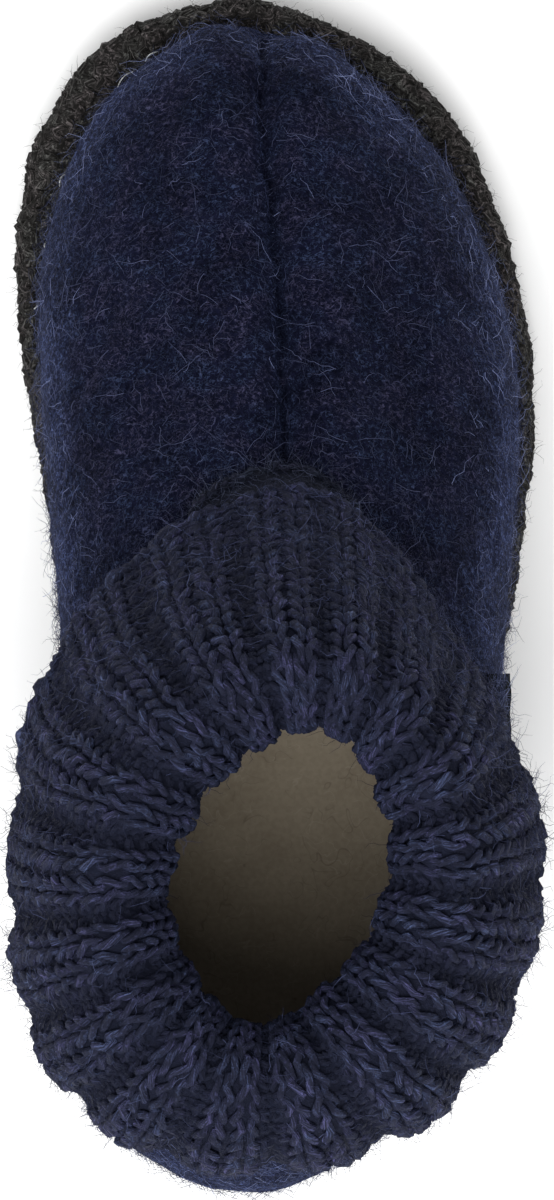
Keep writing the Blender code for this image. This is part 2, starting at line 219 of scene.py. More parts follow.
def smoothCurve(knots, rows, closed):
    # cubic curve with an even bend through the rows of a table
    knots = np.asarray(knots, float)
    rows = np.asarray(rows, float)
    last = len(rows) - 1
    step = np.diff(knots)
    slope = np.diff(rows, axis=0) / step[:, None]
    system = np.zeros((last + 1, last + 1))
    target = np.zeros_like(rows)
    for i in range(1, last):
        system[i, i - 1:i + 2] = step[i], 2 * (step[i - 1] + step[i]), step[i - 1]
        target[i] = 3 * (step[i] * slope[i - 1] + step[i - 1] * slope[i])
    if closed:
        system[0, 0], system[0, last] = 1, -1
        system[last, last - 1:] = step[0], 2 * (step[-1] + step[0])
        system[last, 1] = step[-1]
        target[last] = 3 * (step[0] * slope[-1] + step[-1] * slope[0])
    else:
        system[0, :2] = 2, 1
        system[last, last - 1:] = 1, 2
        target[0] = 3 * slope[0]
        target[last] = 3 * slope[-1]
    tangent = np.linalg.solve(system, target)

    def at(place):
        place = np.asarray(place, float)
        i = np.clip(np.searchsorted(knots, place, side="right") - 1, 0, last - 1)
        h = step[i][:, None]
        f = ((place - knots[i]) / step[i])[:, None]
        return ((1 + 2 * f) * (1 - f) ** 2 * rows[i] + f * (1 - f) ** 2 * h * tangent[i]
                + f * f * (3 - 2 * f) * rows[i + 1] - f * f * (1 - f) * h * tangent[i + 1])

    return at


def drawnThrough(rows, count):
    # points along an open curve through the rows
    rows = np.asarray(rows, float)
    return smoothCurve(np.arange(len(rows)), rows, False)(np.linspace(0, len(rows) - 1, count))


soleSizes = Settings(
    outsole=3.0, insole=3.0, gap=0.3, bandHeight=8.6, toeSpring=3.2, toeBreak=46.0,
    toeTip=81.0, archRise=1.2, archFront=6.0, archBack=-36.0)
stationColumns = ("x", "y", "band", "belly", "shoulder", "full")
stations = (            # round the foot: outer line, band's thickness, wall's swell, height and squareness
    ("seam at toe",      -2.6,  81.0, 3.6, 0.5, 38.0, 3.5),
    ("lateral toe",      12.2,  75.8, 4.3, 0.4, 38.0, 3.5),
    ("little toe",       24.6,  64.2, 4.4, 0.4, 38.0, 3.5),
    ("lateral front",    31.3,  50.0, 3.3, 0.4, 39.0, 3.5),
    ("lateral ball",     35.1,  30.0, 2.6, 1.1, 41.0, 3.3),
    ("lateral middle",   34.6,  14.0, 2.6, 1.3, 43.0, 3.1),
    ("lateral waist",    31.8,  -6.0, 2.6, 1.6, 46.0, 2.8),
    ("lateral quarter",  26.6, -32.0, 2.6, 2.4, 50.0, 2.6),
    ("lateral heel",     20.2, -58.0, 2.4, 4.6, 50.0, 2.6),
    ("heel back",        -4.3, -79.0, 2.4, 5.4, 50.0, 2.6),
    ("medial heel",     -28.8, -58.0, 2.4, 5.0, 50.0, 2.6),
    ("medial quarter",  -28.8, -32.0, 2.6, 2.8, 50.0, 2.6),
    ("medial waist",    -29.4,  -6.0, 2.8, 2.5, 46.0, 2.8),
    ("medial middle",   -32.6,  18.0, 3.0, 2.3, 43.0, 3.1),
    ("medial ball",     -35.9,  42.0, 3.6, 0.8, 40.0, 3.3),
    ("big toe side",    -33.8,  60.0, 5.2, 0.4, 38.0, 3.5),
    ("big toe corner",  -26.0,  73.4, 5.7, 0.4, 38.0, 3.5),
    ("inner toe",       -14.8,  79.8, 4.7, 0.5, 38.0, 3.5),
)


def smoothStep(value, low, high):
    t = np.clip((value - low) / (high - low), 0, 1)
    return t * t * (3 - 2 * t)


def stationCurve():
    rows = np.array([row[1:] for row in stations])
    rows = np.vstack([rows, rows[:1]])
    way = np.concatenate([[0.0], np.cumsum(np.hypot(*np.diff(rows[:, :2], axis=0).T))])
    return smoothCurve(way / way[-1], rows, closed=True)


def lift(y):
    # height of the sole line above the floor
    archShare = np.clip((y - soleSizes.archBack) / (soleSizes.archFront - soleSizes.archBack), 0, 1)
    toeShare = np.clip((y - soleSizes.toeBreak) / (soleSizes.toeTip - soleSizes.toeBreak), 0, None)
    return soleSizes.archRise * np.sin(pi * archShare) ** 2 + soleSizes.toeSpring * toeShare ** 2


def outlineAt(share):
    # station values and outward directions at shares of the way round
    curve, nearby = stationCurve(), 0.002
    values = Settings(zip(stationColumns, curve(share % 1.0).T))
    ahead, behind = curve((share + nearby) % 1.0), curve((share - nearby) % 1.0)
    along = (ahead - behind)[:, :2]
    along /= np.hypot(*along.T)[:, None]
    values["outX"], values["outY"] = -along[:, 1], along[:, 0]
    return values


def insetBy(values, depth):
    return values.x - values.outX * depth, values.y - values.outY * depth


def gridFaces(rings, columns, closed):
    # quads of a sheet of rings; closed joins the last column to the first
    last = columns if closed else columns - 1
    return [(r * columns + c, (r + 1) * columns + c,
             (r + 1) * columns + (c + 1) % columns, r * columns + (c + 1) % columns)
            for r in range(rings - 1) for c in range(last)]


def wrapped(sheet):
    # with its first column once more at the end
    return np.concatenate([sheet, sheet[:, :1]], axis=1)


def unit(vectors):
    return vectors / np.linalg.norm(vectors, axis=-1)[..., None]


def sheetNormals(sheet, closed=True):
    if closed:
        roundWay = np.roll(sheet, -1, axis=1) - np.roll(sheet, 1, axis=1)
    else:
        roundWay = np.gradient(sheet, axis=1)
        roundWay[:, 0] = roundWay[:, -1] = sheet[:, 1] - sheet[:, -2]
    return unit(np.cross(np.gradient(sheet, axis=0), roundWay))


def evenRows(fine, rows):
    # rings resampled so that they lie evenly along each column
    lengths = np.linalg.norm(np.diff(fine, axis=0), axis=2)
    way = np.concatenate([np.zeros((1, fine.shape[1])), np.cumsum(lengths, axis=0)])
    way /= way[-1]
    even = np.linspace(0, 1, rows)
    return np.stack([np.stack([np.interp(even, way[:, c], fine[:, c, k]) for k in range(3)], axis=1)
                     for c in range(fine.shape[1])], axis=1)


def softNoise(places, scale, seed):
    # smooth value noise in -1..1 at places in millimetres, features about one scale wide
    spread = np.random.default_rng(seed)
    table = spread.uniform(-1, 1, (32, 32, 32))
    cell = places / scale + 1000
    corner = np.floor(cell).astype(int)
    f = cell - corner
    f = f * f * (3 - 2 * f)
    total = 0
    for offset in np.ndindex(2, 2, 2):
        x, y, z = np.moveaxis(np.abs(1 - np.array(offset) - f), -1, 0)
        total = total + x * y * z * table[tuple(np.moveaxis((corner + offset) % 32, -1, 0))]
    return total


def newMesh(name, points, faces):
    mesh = bpy.data.meshes.new(name)
    mesh.from_pydata((np.reshape(points, (-1, 3)) * mm).tolist(), [], faces)
    return mesh


def makePiece(name, points, faces, material):
    mesh = newMesh(name, points, faces)
    mesh.update()
    mesh.shade_smooth()
    mesh.materials.append(material)
    return newObject(name, mesh)


def addWall(piece, thickness, offset):
    wall = piece.modifiers.new("wall", "SOLIDIFY")
    wall.thickness = thickness * mm
    wall.offset = offset
    wall.use_even_offset = False
    wall.use_quality_normals = True


def storeValues(mesh, name, values):
    # one value, or one vector, for each point of the mesh
    kind, field = ("FLOAT", "value") if np.size(values) == len(mesh.vertices) else ("FLOAT_VECTOR", "vector")
    mesh.attributes.new(name, kind, "POINT").data.foreach_set(field, np.ravel(values))


def register(piece, slot, node=None):
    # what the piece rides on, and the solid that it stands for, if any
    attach(piece, "root")
    if node:
        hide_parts(node)


def ringsOn(path, sides):
    # level and upright directions across a path, and rings of outward directions round it
    along = unit(np.gradient(path, axis=0))
    side = unit(np.cross(along, (0, 0, 1)))
    up = np.cross(side, along)
    around = np.arange(sides) * 2 * pi / sides
    return side, up, side[:, None] * np.cos(around)[:, None] + up[:, None] * np.sin(around)[:, None]


def tubeFaces(tubes, points, sides):
    # faces of several closed tubes
    faces = []
    for tube in range(tubes):
        first = tube * points * sides
        faces += [tuple(first + corner for corner in face) for face in gridFaces(points, sides, True)]
        faces += [tuple(first + k for k in range(sides)),
                  tuple(first + (points - 1) * sides + k for k in reversed(range(sides)))]
    return faces


# fibres and hairs

def curlyFibres(at, place, scale, width, offset):
    # thin curly lines: where a smooth noise crosses its middle, broken up by a second one
    moved = at.vector("ADD", place, offset)
    value = at.noise(moved, scale, 1.0, Roughness=0.6, Distortion=0.6)
    line = 1 - abs(value - 0.5).ramp(0.0, width)
    return line * at.noise(moved, scale * 0.9, 0.0).ramp(0.44, 0.56)


hairShape = Settings(leans=(-0.9, 0.1), sizes=(0.35, 1.25), bend=0.6, taper=0.7, sides=3)


def hairTree():
    s = hairShape
    tree, given = geometryTree(
        "curlyHairs", ("density", "length", "rise", "curl", "curlSize", "radius", "steepest"),
        ("segments", "seed"))
    at = Wire(tree)

    def drawn(low, high, step):
        return at.node("FunctionNodeRandomValue", None,
                       {"Min": low, "Max": high, "Seed": given.seed + step})

    def turned(rotation, axis, angle):
        turn = at.node("FunctionNodeAxisAngleToRotation", None, {"Axis": axis, "Angle": angle})
        return at.node("FunctionNodeRotateRotation", {"rotation_space": "LOCAL"},
                       {"Rotation": rotation, "Rotate By": turn})

    facing = at.shape("InputNormal").split().output("Z")
    scatter = at.shape("DistributePointsOnFaces", {
        "Mesh": given.Geometry, "Seed": given.seed,
        "Selection": at.maths("LESS_THAN", facing, given.steepest),
        "Density": given.density * (1 + at.stored("extra"))}, "Points")
    lie = turned(scatter.output("Rotation"), (0, 0, 1), drawn(0.0, 2 * pi, 1))
    lie = turned(lie, (0, 1, 0), drawn(*s.leans, 2) * given.rise)
    strand = at.shape("CurvePrimitiveLine", {"End": at.joined(given.length, 0.0, 0.0)})
    strand = at.shape("ResampleCurve", {"Curve": strand, "Count": given.segments + 1})
    size = drawn(*s.sizes, 3)
    hairs = at.shape("InstanceOnPoints", {
        "Points": scatter, "Instance": strand, "Rotation": lie,
        "Scale": at.joined(size, size, size)})
    hairs = hairs.store("hairShade", drawn(0.0, 1.0, 4), domain="INSTANCE")
    hairs = at.shape("RealizeInstances", {"Geometry": hairs})
    # each strand bends by a noise of its own, more towards its tip
    own = at.stored("hairShade")
    place = at.shape("InputPosition")
    apart = at.vector("ADD", place, at.joined(own * 3.7, own * 5.1, own * 4.3))
    bends = at.noise(apart, 1 / given.curlSize, 1.0, "Color")
    share = at.shape("SplineParameter", None, "Factor")
    bends = at.vector("SUBTRACT", bends, (0.5, 0.5, 0.5)).scaled(given.curl * share ** s.bend)
    hairs = hairs.moved(Offset=bends)
    # and none goes through the floor
    x = at.shape("InputPosition").split()
    z = at.maths("MAXIMUM", x.output("Z"), given.radius * 2)
    hairs = hairs.moved(Position=at.joined(x, x.output("Y"), z))
    ring = at.shape("CurvePrimitiveCircle", {"Resolution": s.sides, "Radius": given.radius})
    hairs = at.shape("CurveToMesh", {
        "Curve": hairs, "Profile Curve": ring, "Scale": 1 - s.taper * share * share, "Fill Caps": True})
    endTree(tree, hairs, given.Material)
    return tree


hairs = hairTree()


def growHairs(name, base, material, slot, steepest=2.0, **sizes):
    # hairs stay off faces that look up by more than the steepest
    register(grown(name, base, hairs, material, steepest=steepest, **sizes), slot)


# materials

def feltMaterial(name, deep, middle, fibre, other, litWallBase, litWallFibre, sheen):
    material, shader, at = newMaterial(name, 0.95, 0.08, (0.4, 0.5, 1.0), sheen, (0.36, 0.46, 1.0))
    place = at.objectPlace()
    clouds = at.noise(place, 110.0, 2.0)
    grain = at.noise(place, 1500.0, 3.0, Roughness=0.7)
    fine = curlyFibres(at, place, 1900.0, 0.075, (0.31, 0.17, 0.05))
    curls = curlyFibres(at, place, 1300.0, 0.055, (0.11, 0.47, 0.25))
    long = curlyFibres(at, place, 620.0, 0.020, (0.23, 0.09, 0.41))
    mottle = (clouds.ramp(0.36, 0.64) * 0.35 + grain.ramp(0.36, 0.64) * 0.65).between()
    # painted light: where the felt stands up, its base and fibre colours turn lighter
    wall = at.attribute("wall")
    base = mottle.blend(deep, wall.blend(middle, litWallBase))
    threads = (fine * 0.5 + curls * 0.7 + long * 0.9).between()
    tone = at.noise(place, 190.0, 1.0).ramp(0.38, 0.62)
    dyed = wall.blend(tone.blend(fibre, other), litWallFibre)
    colour = (threads * (clouds.ramp(0.35, 0.65) * 0.4 + 0.6)).blend(base, dyed)
    # painted shade: in the seam's groove and trough the felt's colour turns darker
    creaseShadeColour = tuple(c * 0.5 for c in deep)
    connect(shader, "Base Color", (at.attribute("creaseShade") * 0.62).blend(colour, creaseShadeColour))
    connectBump(shader, 0.8, 0.0005, mottle * 0.8 + threads)
    return material


def hairMaterial(name, dark, light, tint):
    material, shader, at = newMaterial(name, 0.6, 0.2, tint)
    patches = at.noise(at.objectPlace(), 700.0, 1.0).ramp(0.42, 0.65)
    mix = (at.attribute("hairShade") ** 3.2 * 0.9 + patches * 0.15).between()
    connect(shader, "Base Color", mix.blend(dark, light))
    return material


def yarnMaterial(name, deep, middle, fibre, drift, patchy, flecks, sheen, tint):
    material, shader, at = newMaterial(name, 0.5, 0.2, tint, sheen, tint)
    along, hollowShade, place = at.attribute("along"), at.attribute("hollowShade"), at.objectPlace()
    # fibres wind round the yarn
    ringX = at.attribute("ring", "Vector").split()
    ringY = ringX.output("Y")
    turn = along * 700.0
    woundX = ringX * turn.cosine() - ringY * turn.sine()
    woundY = ringX * turn.sine() + ringY * turn.cosine()
    strands = at.noise(at.joined(along * 330.0, woundX * 2.7, woundY * 2.7), 1.0, 3.0,
                       Roughness=0.65, Distortion=0.3)
    clouds = at.noise(place, 330.0, 3.0)
    fuzz = curlyFibres(at, place, 900.0, 0.050, (0.07, 0.33, 0.21))
    speckle = at.noise(place, 2100.0, 1.0)
    mottle = (strands.ramp(0.38, 0.62) * 0.6 + clouds.ramp(0.38, 0.62) * 0.4).between()
    # lighter fibres along the strands, partly painted highlight: glints that streak and fleck the yarn
    lightFibresAndGlints = strands.ramp(0.50, 0.72) * (clouds.ramp(0.40, 0.60) * patchy + (1 - patchy) * 0.5)
    lightFibresAndGlints = (lightFibresAndGlints + fuzz * 0.25).between()
    lightFibresAndGlints = (lightFibresAndGlints + speckle.ramp(0.58, 0.74) * flecks).between()
    # the dye drifts between a colder and a warmer shade
    red, green, blue = fibre
    dyed = at.noise(place, 230.0, 2.0).ramp(0.40, 0.60).blend(
        (red * (1 - drift), green * (1 + drift), blue), (red * (1 + drift), green * (1 - drift), blue))
    # painted shade: the hollows darken the yarn's colour and dim its glints
    colour = (lightFibresAndGlints * (0.9 - hollowShade * 0.7)).blend(mottle.blend(deep, middle), dyed)
    connect(shader, "Base Color", (hollowShade * 0.72).blend(colour, tuple(c * 0.7 for c in deep)))
    connect(shader, "Roughness", 0.85 - strands.ramp(0.5, 0.8) * 0.25)
    connectBump(shader, 0.9, 0.0007, strands * 1.3 + fuzz * 0.5 + speckle * 0.4 + clouds * 1.2)
    return material


def insoleMaterial():
    material, shader, at = newMaterial("beigeFelt", rough=0.95, gloss=0.1)
    place = at.objectPlace()
    fibres = curlyFibres(at, place, 260.0, 0.012, (0.2, 0.1, 0.0))
    pale = curlyFibres(at, place, 380.0, 0.016, (0.5, 0.3, 0.1))
    mottle = (at.noise(place, 120.0, 4.0).ramp(0.3, 0.7) * 0.5
              + at.noise(place, 1300.0, 2.0).ramp(0.3, 0.7) * 0.5).between()
    base = mottle.blend((0.395, 0.328, 0.240), (0.495, 0.420, 0.315))
    base = (pale * 0.5).blend(base, (0.58, 0.51, 0.40))
    connect(shader, "Base Color", (fibres * 0.35).blend(base, (0.16, 0.13, 0.095)))
    connectBump(shader, 0.5, 0.0003, mottle + fibres * 0.4)
    return material


def rubberMaterial():
    material, shader, at = newMaterial("darkRubber")
    grain = at.noise(at.objectPlace(), 900.0, 4.0)
    scuffs = at.noise(at.objectPlace(), 90.0, 5.0)
    mix = (grain.ramp(0.3, 0.7) * 0.6 + scuffs.ramp(0.45, 0.7) * 0.4).between()
    connect(shader, "Base Color", mix.blend((0.012, 0.0115, 0.0115), (0.030, 0.029, 0.028)))
    connect(shader, "Roughness", 0.6 + scuffs * 0.3)
    connectBump(shader, 0.5, 0.0003, grain)
    return material


def tapeMaterial():
    material, shader, at = newMaterial("darkTape", rough=0.95, gloss=0.0)
    place = at.objectPlace()
    x = place.split()
    weave = (x.output("Y") * 9000.0).sine() * (x.output("Z") * 7000.0).sine()
    worn = at.noise(place, 800.0, 3.0)
    mix = (weave * 0.25 + worn).ramp(0.3, 0.75)
    connect(shader, "Base Color", mix.blend((0.0025, 0.0028, 0.0030), (0.0300, 0.0330, 0.0330)))
    connectBump(shader, 0.7, 0.0003, weave + worn)
    return material


# felt upper

upperFelt = Settings(
    columns=300, rings=82, steps=260, seamCrowding=0.58, wall=3.0, bandClear=6.0,
    collarCentre=(0.5, -32.0), collarMedial=28.0, collarLateral=25.6, collarLength=34.4,
    collarNose=0.20, collarFront=65.5, collarSide=66.0,
    footBend=0.0005, instepSlope=1.45, bellyFoot=11.0, bellyTop=56.0,
    seamDepth=1.6, seamWidth=2.9, seamFade=8, shadow=0.30, sway=0.35, swayRates=(0.9, 0.23),
    seamBend=((18.0, 1.75), (39.0, 1.60), (53.0, 0.95), (65.0, 0.05), (74.0, 0.80),
              (84.0, 1.10)),
    grooveDepth=1.45, grooveWidth=0.85, stitchRest=0.85, stitchPull=0.3, stitchRate=1.7,
    moundRise=1.0, moundOffset=7.5, moundWidth=5.5,
    lump=0.25, lumpSize=4.5, nap=0.16, napSize=1.6, steepWalls=(0.28, 0.80))


def feltRings(values, share, bend):
    # the felt's outer face and its seam line: bend 0 is its foot, a quarter turn is the collar
    s = upperFelt
    centreX, centreY = s.collarCentre
    polar = np.unwrap(np.arctan2(values.x - centreX, values.y - centreY))
    turn = (polar + 2 * pi * share) / 2
    front = np.clip(np.cos(turn), 0, 1)
    side = np.where(np.sin(turn) < 0, s.collarMedial, s.collarLateral)
    collarX = centreX + side * (1 - s.collarNose * front ** 2) * np.sin(turn)
    collarY = centreY + s.collarLength * np.cos(turn)
    collarZ = s.collarSide + (s.collarFront - s.collarSide) * front
    into = 1 - np.cos(bend) ** (2 / values.full)
    rise = np.sin(bend) ** (2 / values.full)
    foot = soleSizes.outsole + soleSizes.gap
    z = foot + (values.shoulder - foot) * rise + (collarZ - values.shoulder) * into ** s.instepSlope
    high = np.clip((z - s.bellyFoot) / (s.bellyTop - s.bellyFoot), 0, 1)
    swell = np.sin(pi * high) * values.belly
    baseX, baseY = insetBy(values, values.band + soleSizes.gap)
    x = baseX + (collarX - baseX) * into + values.outX * swell
    y = baseY + (collarY - baseY) * into + values.outY * swell
    return np.stack([x, y, z], axis=2), (values.x[0], values.y[0], collarX[0], collarY[0])


def makeUpper():
    s = upperFelt
    even = np.arange(s.columns) / s.columns
    share = even - s.seamCrowding * np.sin(2 * pi * even) / (2 * pi)
    values = outlineAt(share)
    fine, seam = feltRings(values, share, np.linspace(s.footBend, pi / 2, s.steps)[:, None])
    toeX, toeY, collarX, collarY = seam
    sheet = evenRows(fine, s.rings)
    y = sheet[..., 1]
    clear = np.clip((sheet[..., 2] - soleSizes.outsole - soleSizes.bandHeight) / s.bandClear, 0, 1)
    # the seam, toe to collar: a trough with a groove in it, and a mound on each side
    along = (toeY - y) / (toeY - collarY)
    beside = sheet[..., 0] - (toeX + (collarX - toeX) * along) - np.interp(y, *zip(*s.seamBend))
    beside += s.sway * np.sin(y * s.swayRates[0]) * np.sin(y * s.swayRates[1] + 1.0)
    trough = s.seamDepth * np.exp(-(beside / s.seamWidth) ** 2)
    pulled = s.stitchRest + s.stitchPull * np.sin(y * s.stitchRate)
    groove = s.grooveDepth * np.exp(-(beside / s.grooveWidth) ** 2) * pulled
    mound = s.moundRise * np.exp(-((np.abs(beside) - s.moundOffset) / s.moundWidth) ** 2)
    forefoot = np.clip((1 - along) * s.seamFade, 0, 1)
    relief = (mound - trough - groove) * forefoot * clear
    relief += softNoise(sheet, s.lumpSize, 3) * s.lump + softNoise(sheet, s.napSize, 4) * s.nap
    sheet = sheet + sheetNormals(sheet) * relief[..., None]
    sheet[..., 2] += lift(sheet[..., 1])
    felt = feltMaterial("navyBoiledWool", deep=(0.0008, 0.0009, 0.0032), middle=(0.0056, 0.0064, 0.0185),
                        fibre=(0.038, 0.054, 0.116), other=(0.056, 0.054, 0.108),
                        litWallBase=(0.0145, 0.0185, 0.0520), litWallFibre=(0.128, 0.172, 0.385), sheen=0.015)
    upper = makePiece("upperFelt", sheet, gridFaces(s.rings, s.columns, True), felt)
    # painted shade: how deep the seam's groove and trough lie, to darken the felt's colour there
    creaseShade = (groove / s.grooveDepth + s.shadow * trough / s.seamDepth) * forefoot * clear
    storeValues(upper.data, "creaseShade", np.clip(creaseShade, 0, 1))
    # painted light: the fibres are given lighter colours low on the walls, where the felt stands up
    steep = smoothStep(1 - np.abs(sheetNormals(sheet)[..., 2]), *s.steepWalls)
    storeValues(upper.data, "wall", steep)
    skin = upper.data.copy()
    addWall(upper, s.wall, -1)
    register(upper, "navy_felt", "upper")
    print("upper's felt is made")
    return skin


coolGloss = (0.5, 0.6, 1.0)
feltSkin = makeUpper()
feltHair = hairMaterial("navyHairs", (0.005, 0.0065, 0.019), (0.100, 0.114, 0.215), coolGloss)
# painted light: the hairs on the walls are a lighter copy of the felt's hairs
litWallHair = hairMaterial("navyWallHairsLit", (0.010, 0.014, 0.045), (0.290, 0.340, 0.610), coolGloss)
feltCoat = Settings(length=0.0042, curl=0.0034, curlSize=0.0018)
feltCoats = (           # hairs to the square metre, rise, segments, radius, seed, steepest, material
    ("upperHairsA",    140000.0, 0.45, 5, 0.000038, 11, 2.0,  feltHair),
    ("upperHairsB",    130000.0, 0.60, 4, 0.000036, 21, 2.0,  feltHair),
    ("upperHairsSide", 290000.0, 0.55, 4, 0.000030, 31, 0.60, litWallHair),
)
for name, density, rise, segments, radius, seed, steepest, hair in feltCoats:
    growHairs(name, feltSkin, hair, "navy_felt", steepest, density=density, rise=rise, segments=segments,
              radius=radius, seed=seed, **feltCoat)


# knitting

def knitTree():
    tree, given = geometryTree(
        "ribKnit", ("rowsInAll", "firstRow", "loopReach", "loopLean", "legSwell", "depth", "ribPull",
                    "purlBias", "firstRib", "yarnRadius", "unevenness", "fluff", "deepRib"),
        ("stitchesRound", "rows", "pointsPerStitch", "sides"))
    at = Wire(tree)
    around = given.stitchesRound * given.pointsPerStitch
    course = at.shape("CurvePrimitiveCircle", {"Resolution": around, "Radius": 1.0})
    courses = at.shape("DuplicateElements", {"Geometry": course, "Amount": given.rows}, domain="SPLINE")
    step = at.shape("SplineParameter", None, "Index")
    phase = step / given.pointsPerStitch
    turn = phase * (2 * pi)
    across = phase + given.loopLean * (turn * 2).sine()
    row = courses.output("Duplicate Index")
    up = row + given.firstRow + 0.5 - given.loopReach * turn.cosine()
    quarter = (across - given.firstRib) * (pi / 2)
    rib = quarter.cosine()
    # plain stitches are drawn over the purl ones
    across = across + given.ribPull * quarter.sine()
    side = (rib * 6 + given.purlBias).between(-1.0, 1.0)
    place = at.joined(at.maths("FRACT", across / given.stitchesRound),
                      (up / given.rowsInAll).between(0.0005, 0.9995), 0.0)

    def sampled(value, kind="FLOAT"):
        return at.shape("SampleUVSurface", {"Mesh": given.Geometry, "Sample UV": place, "Value": value,
                                            "UV Map": at.stored("knit", "FLOAT_VECTOR")}, data_type=kind)

    centre = sampled(at.shape("InputPosition"), "FLOAT_VECTOR")
    outward = sampled(at.stored("outward", "FLOAT_VECTOR"), "FLOAT_VECTOR")
    wide, relief = sampled(at.stored("wide")), sampled(at.stored("relief"))
    rise = relief * (rib * 1.25).between(-1.0, 1.0) - given.depth * (turn * 2).cosine() * side
    wobble = at.vector("SUBTRACT", at.noise(centre, 330.0, 1.0, "Color"), (0.5, 0.5, 0.5))
    raised = at.vector("ADD", centre, outward.scaled(rise))
    courses = courses.moved(Position=at.vector("ADD", raised, wobble.scaled(given.unevenness)))
    courses = courses.store("along", at.shape("SplineParameter", None, "Length"))
    # painted shade: dark between the ribs where they stand high, and where loops cross
    hollowShade = (0.45 - rib * 0.75).between() * 0.8 + (0.5 + 0.5 * (turn * 2).cosine()) * 0.25
    courses = courses.store("hollowShade", hollowShade * (relief / given.deepRib).between())
    ring = at.shape("CurvePrimitiveCircle", {"Resolution": given.sides, "Radius": given.yarnRadius})
    ring = ring.store("ring", at.vector("NORMALIZE", at.shape("InputPosition")), "FLOAT_VECTOR")
    plump = wide * (1 - given.legSwell * (turn * 2).cosine())
    yarn = at.shape("CurveToMesh", {"Curve": courses, "Profile Curve": ring, "Scale": plump})
    lumps = (at.noise(at.shape("InputPosition"), 1500.0, 1.0) - 0.5) * given.fluff
    yarn = yarn.moved(Offset=at.shape("InputNormal").scaled(lumps))
    yarn = at.shape("SetShadeSmooth", {"Geometry": yarn})
    endTree(tree, yarn, given.Material)
    return tree


knit = knitTree()
plainStitch = 2.7       # pitch round that the yarn's own thickness belongs to
yarnWidths = (0.84, 1.05)


def knitBase(name, sheet, outward, stitches, relief):
    # open grid whose last column lies on its first, with the map that the yarn follows
    sheet, outward, relief = wrapped(sheet), wrapped(outward), wrapped(relief)
    rings, columns = sheet.shape[:2]
    faces = gridFaces(rings, columns, False)
    if (sheetNormals(sheet, False) * outward).sum() < 0:
        faces = [face[::-1] for face in faces]
    mesh = newMesh(name, sheet, faces)
    across, up = np.meshgrid(np.linspace(0, 1, columns), np.linspace(0, 1, rings))
    flat = np.stack([across.ravel(), up.ravel()], axis=1)
    corners = np.zeros(len(mesh.loops), dtype=int)
    mesh.loops.foreach_get("vertex_index", corners)
    mesh.uv_layers.new(name="knit").data.foreach_set("uv", flat[corners].ravel())
    pitch = np.linalg.norm(sheet[:, 1:] - sheet[:, :-1], axis=2).sum(axis=1) / stitches
    storeValues(mesh, "outward", outward)
    storeValues(mesh, "wide", np.repeat(np.clip(pitch / plainStitch, *yarnWidths), columns))
    storeValues(mesh, "relief", relief * mm)
    mesh.update()
    return mesh


# cuff

cuffKnit = Settings(
    ribs=17, firstRib=-8.6, columns=204, rings=90, steps=240,
    ribPull=0.42, deepRib=0.7, fullness=0.3, fuzzRise=0.75, backing=0.3, backingWall=0.5,
    backingFlat=0.7, shades=(0.4, 0.85), fibreSlants=(0.011, 0.013), fibreTurns=(2.4, 1.7),
    frontRelief=0.4, frontFill=0.4, frontHairs=2.1, frontArc=(0.0, 0.6), frontStart=(0.5, 0.8),
    medialRibs=0.5, medialArc=(0.05, 0.25), throatRelief=0.5, throatEnd=(0.30, 0.42),
    foldRelief=1.5, foldStart=(0.30, 0.45), foldBare=0.5, foldEnd=(0.55, 0.75),
    hemRelief=0.8, hemStart=(0.62, 0.95),
    lipDraw=0.45, lipUneven=0.35, lipSize=5.0, lipStart=(0.12, 0.26), lipEnd=(0.34, 0.46))
partColumns = ("firstRow", "rows", "pointsPerStitch", "sides", "depth")
cuffParts = (
    ("cuffShaft",  0.0,  9,  8, 4, 0.60 * mm),
    ("cuffFold",   9.0, 13, 10, 6, 0.60 * mm),
    ("cuffSkirt", 22.0, 13, 10, 6, 0.35 * mm),
)
cuffYarn = Settings(
    stitchesRound=cuffKnit.ribs * 4, rowsInAll=35.5, loopReach=0.76, loopLean=0.265,
    legSwell=0.10, ribPull=cuffKnit.ribPull, purlBias=0.0, firstRib=1.0,
    yarnRadius=0.58 * mm, unevenness=0.0019, fluff=0.00035, deepRib=cuffKnit.deepRib * mm)
# cast-off edge: a thick flat chain along the hem
cuffHem = Settings(
    firstRow=34.65, rows=1, pointsPerStitch=10, sides=6, loopReach=0.14, loopLean=0.05,
    legSwell=0.12, depth=0.12 * mm, purlBias=10.0, yarnRadius=0.95 * mm, fluff=0.0007)
cuffCoat = Settings(
    density=224000.0, length=0.0034, rise=1.0, curl=0.0030, curlSize=0.0017,
    radius=0.000034, segments=5, seed=41)

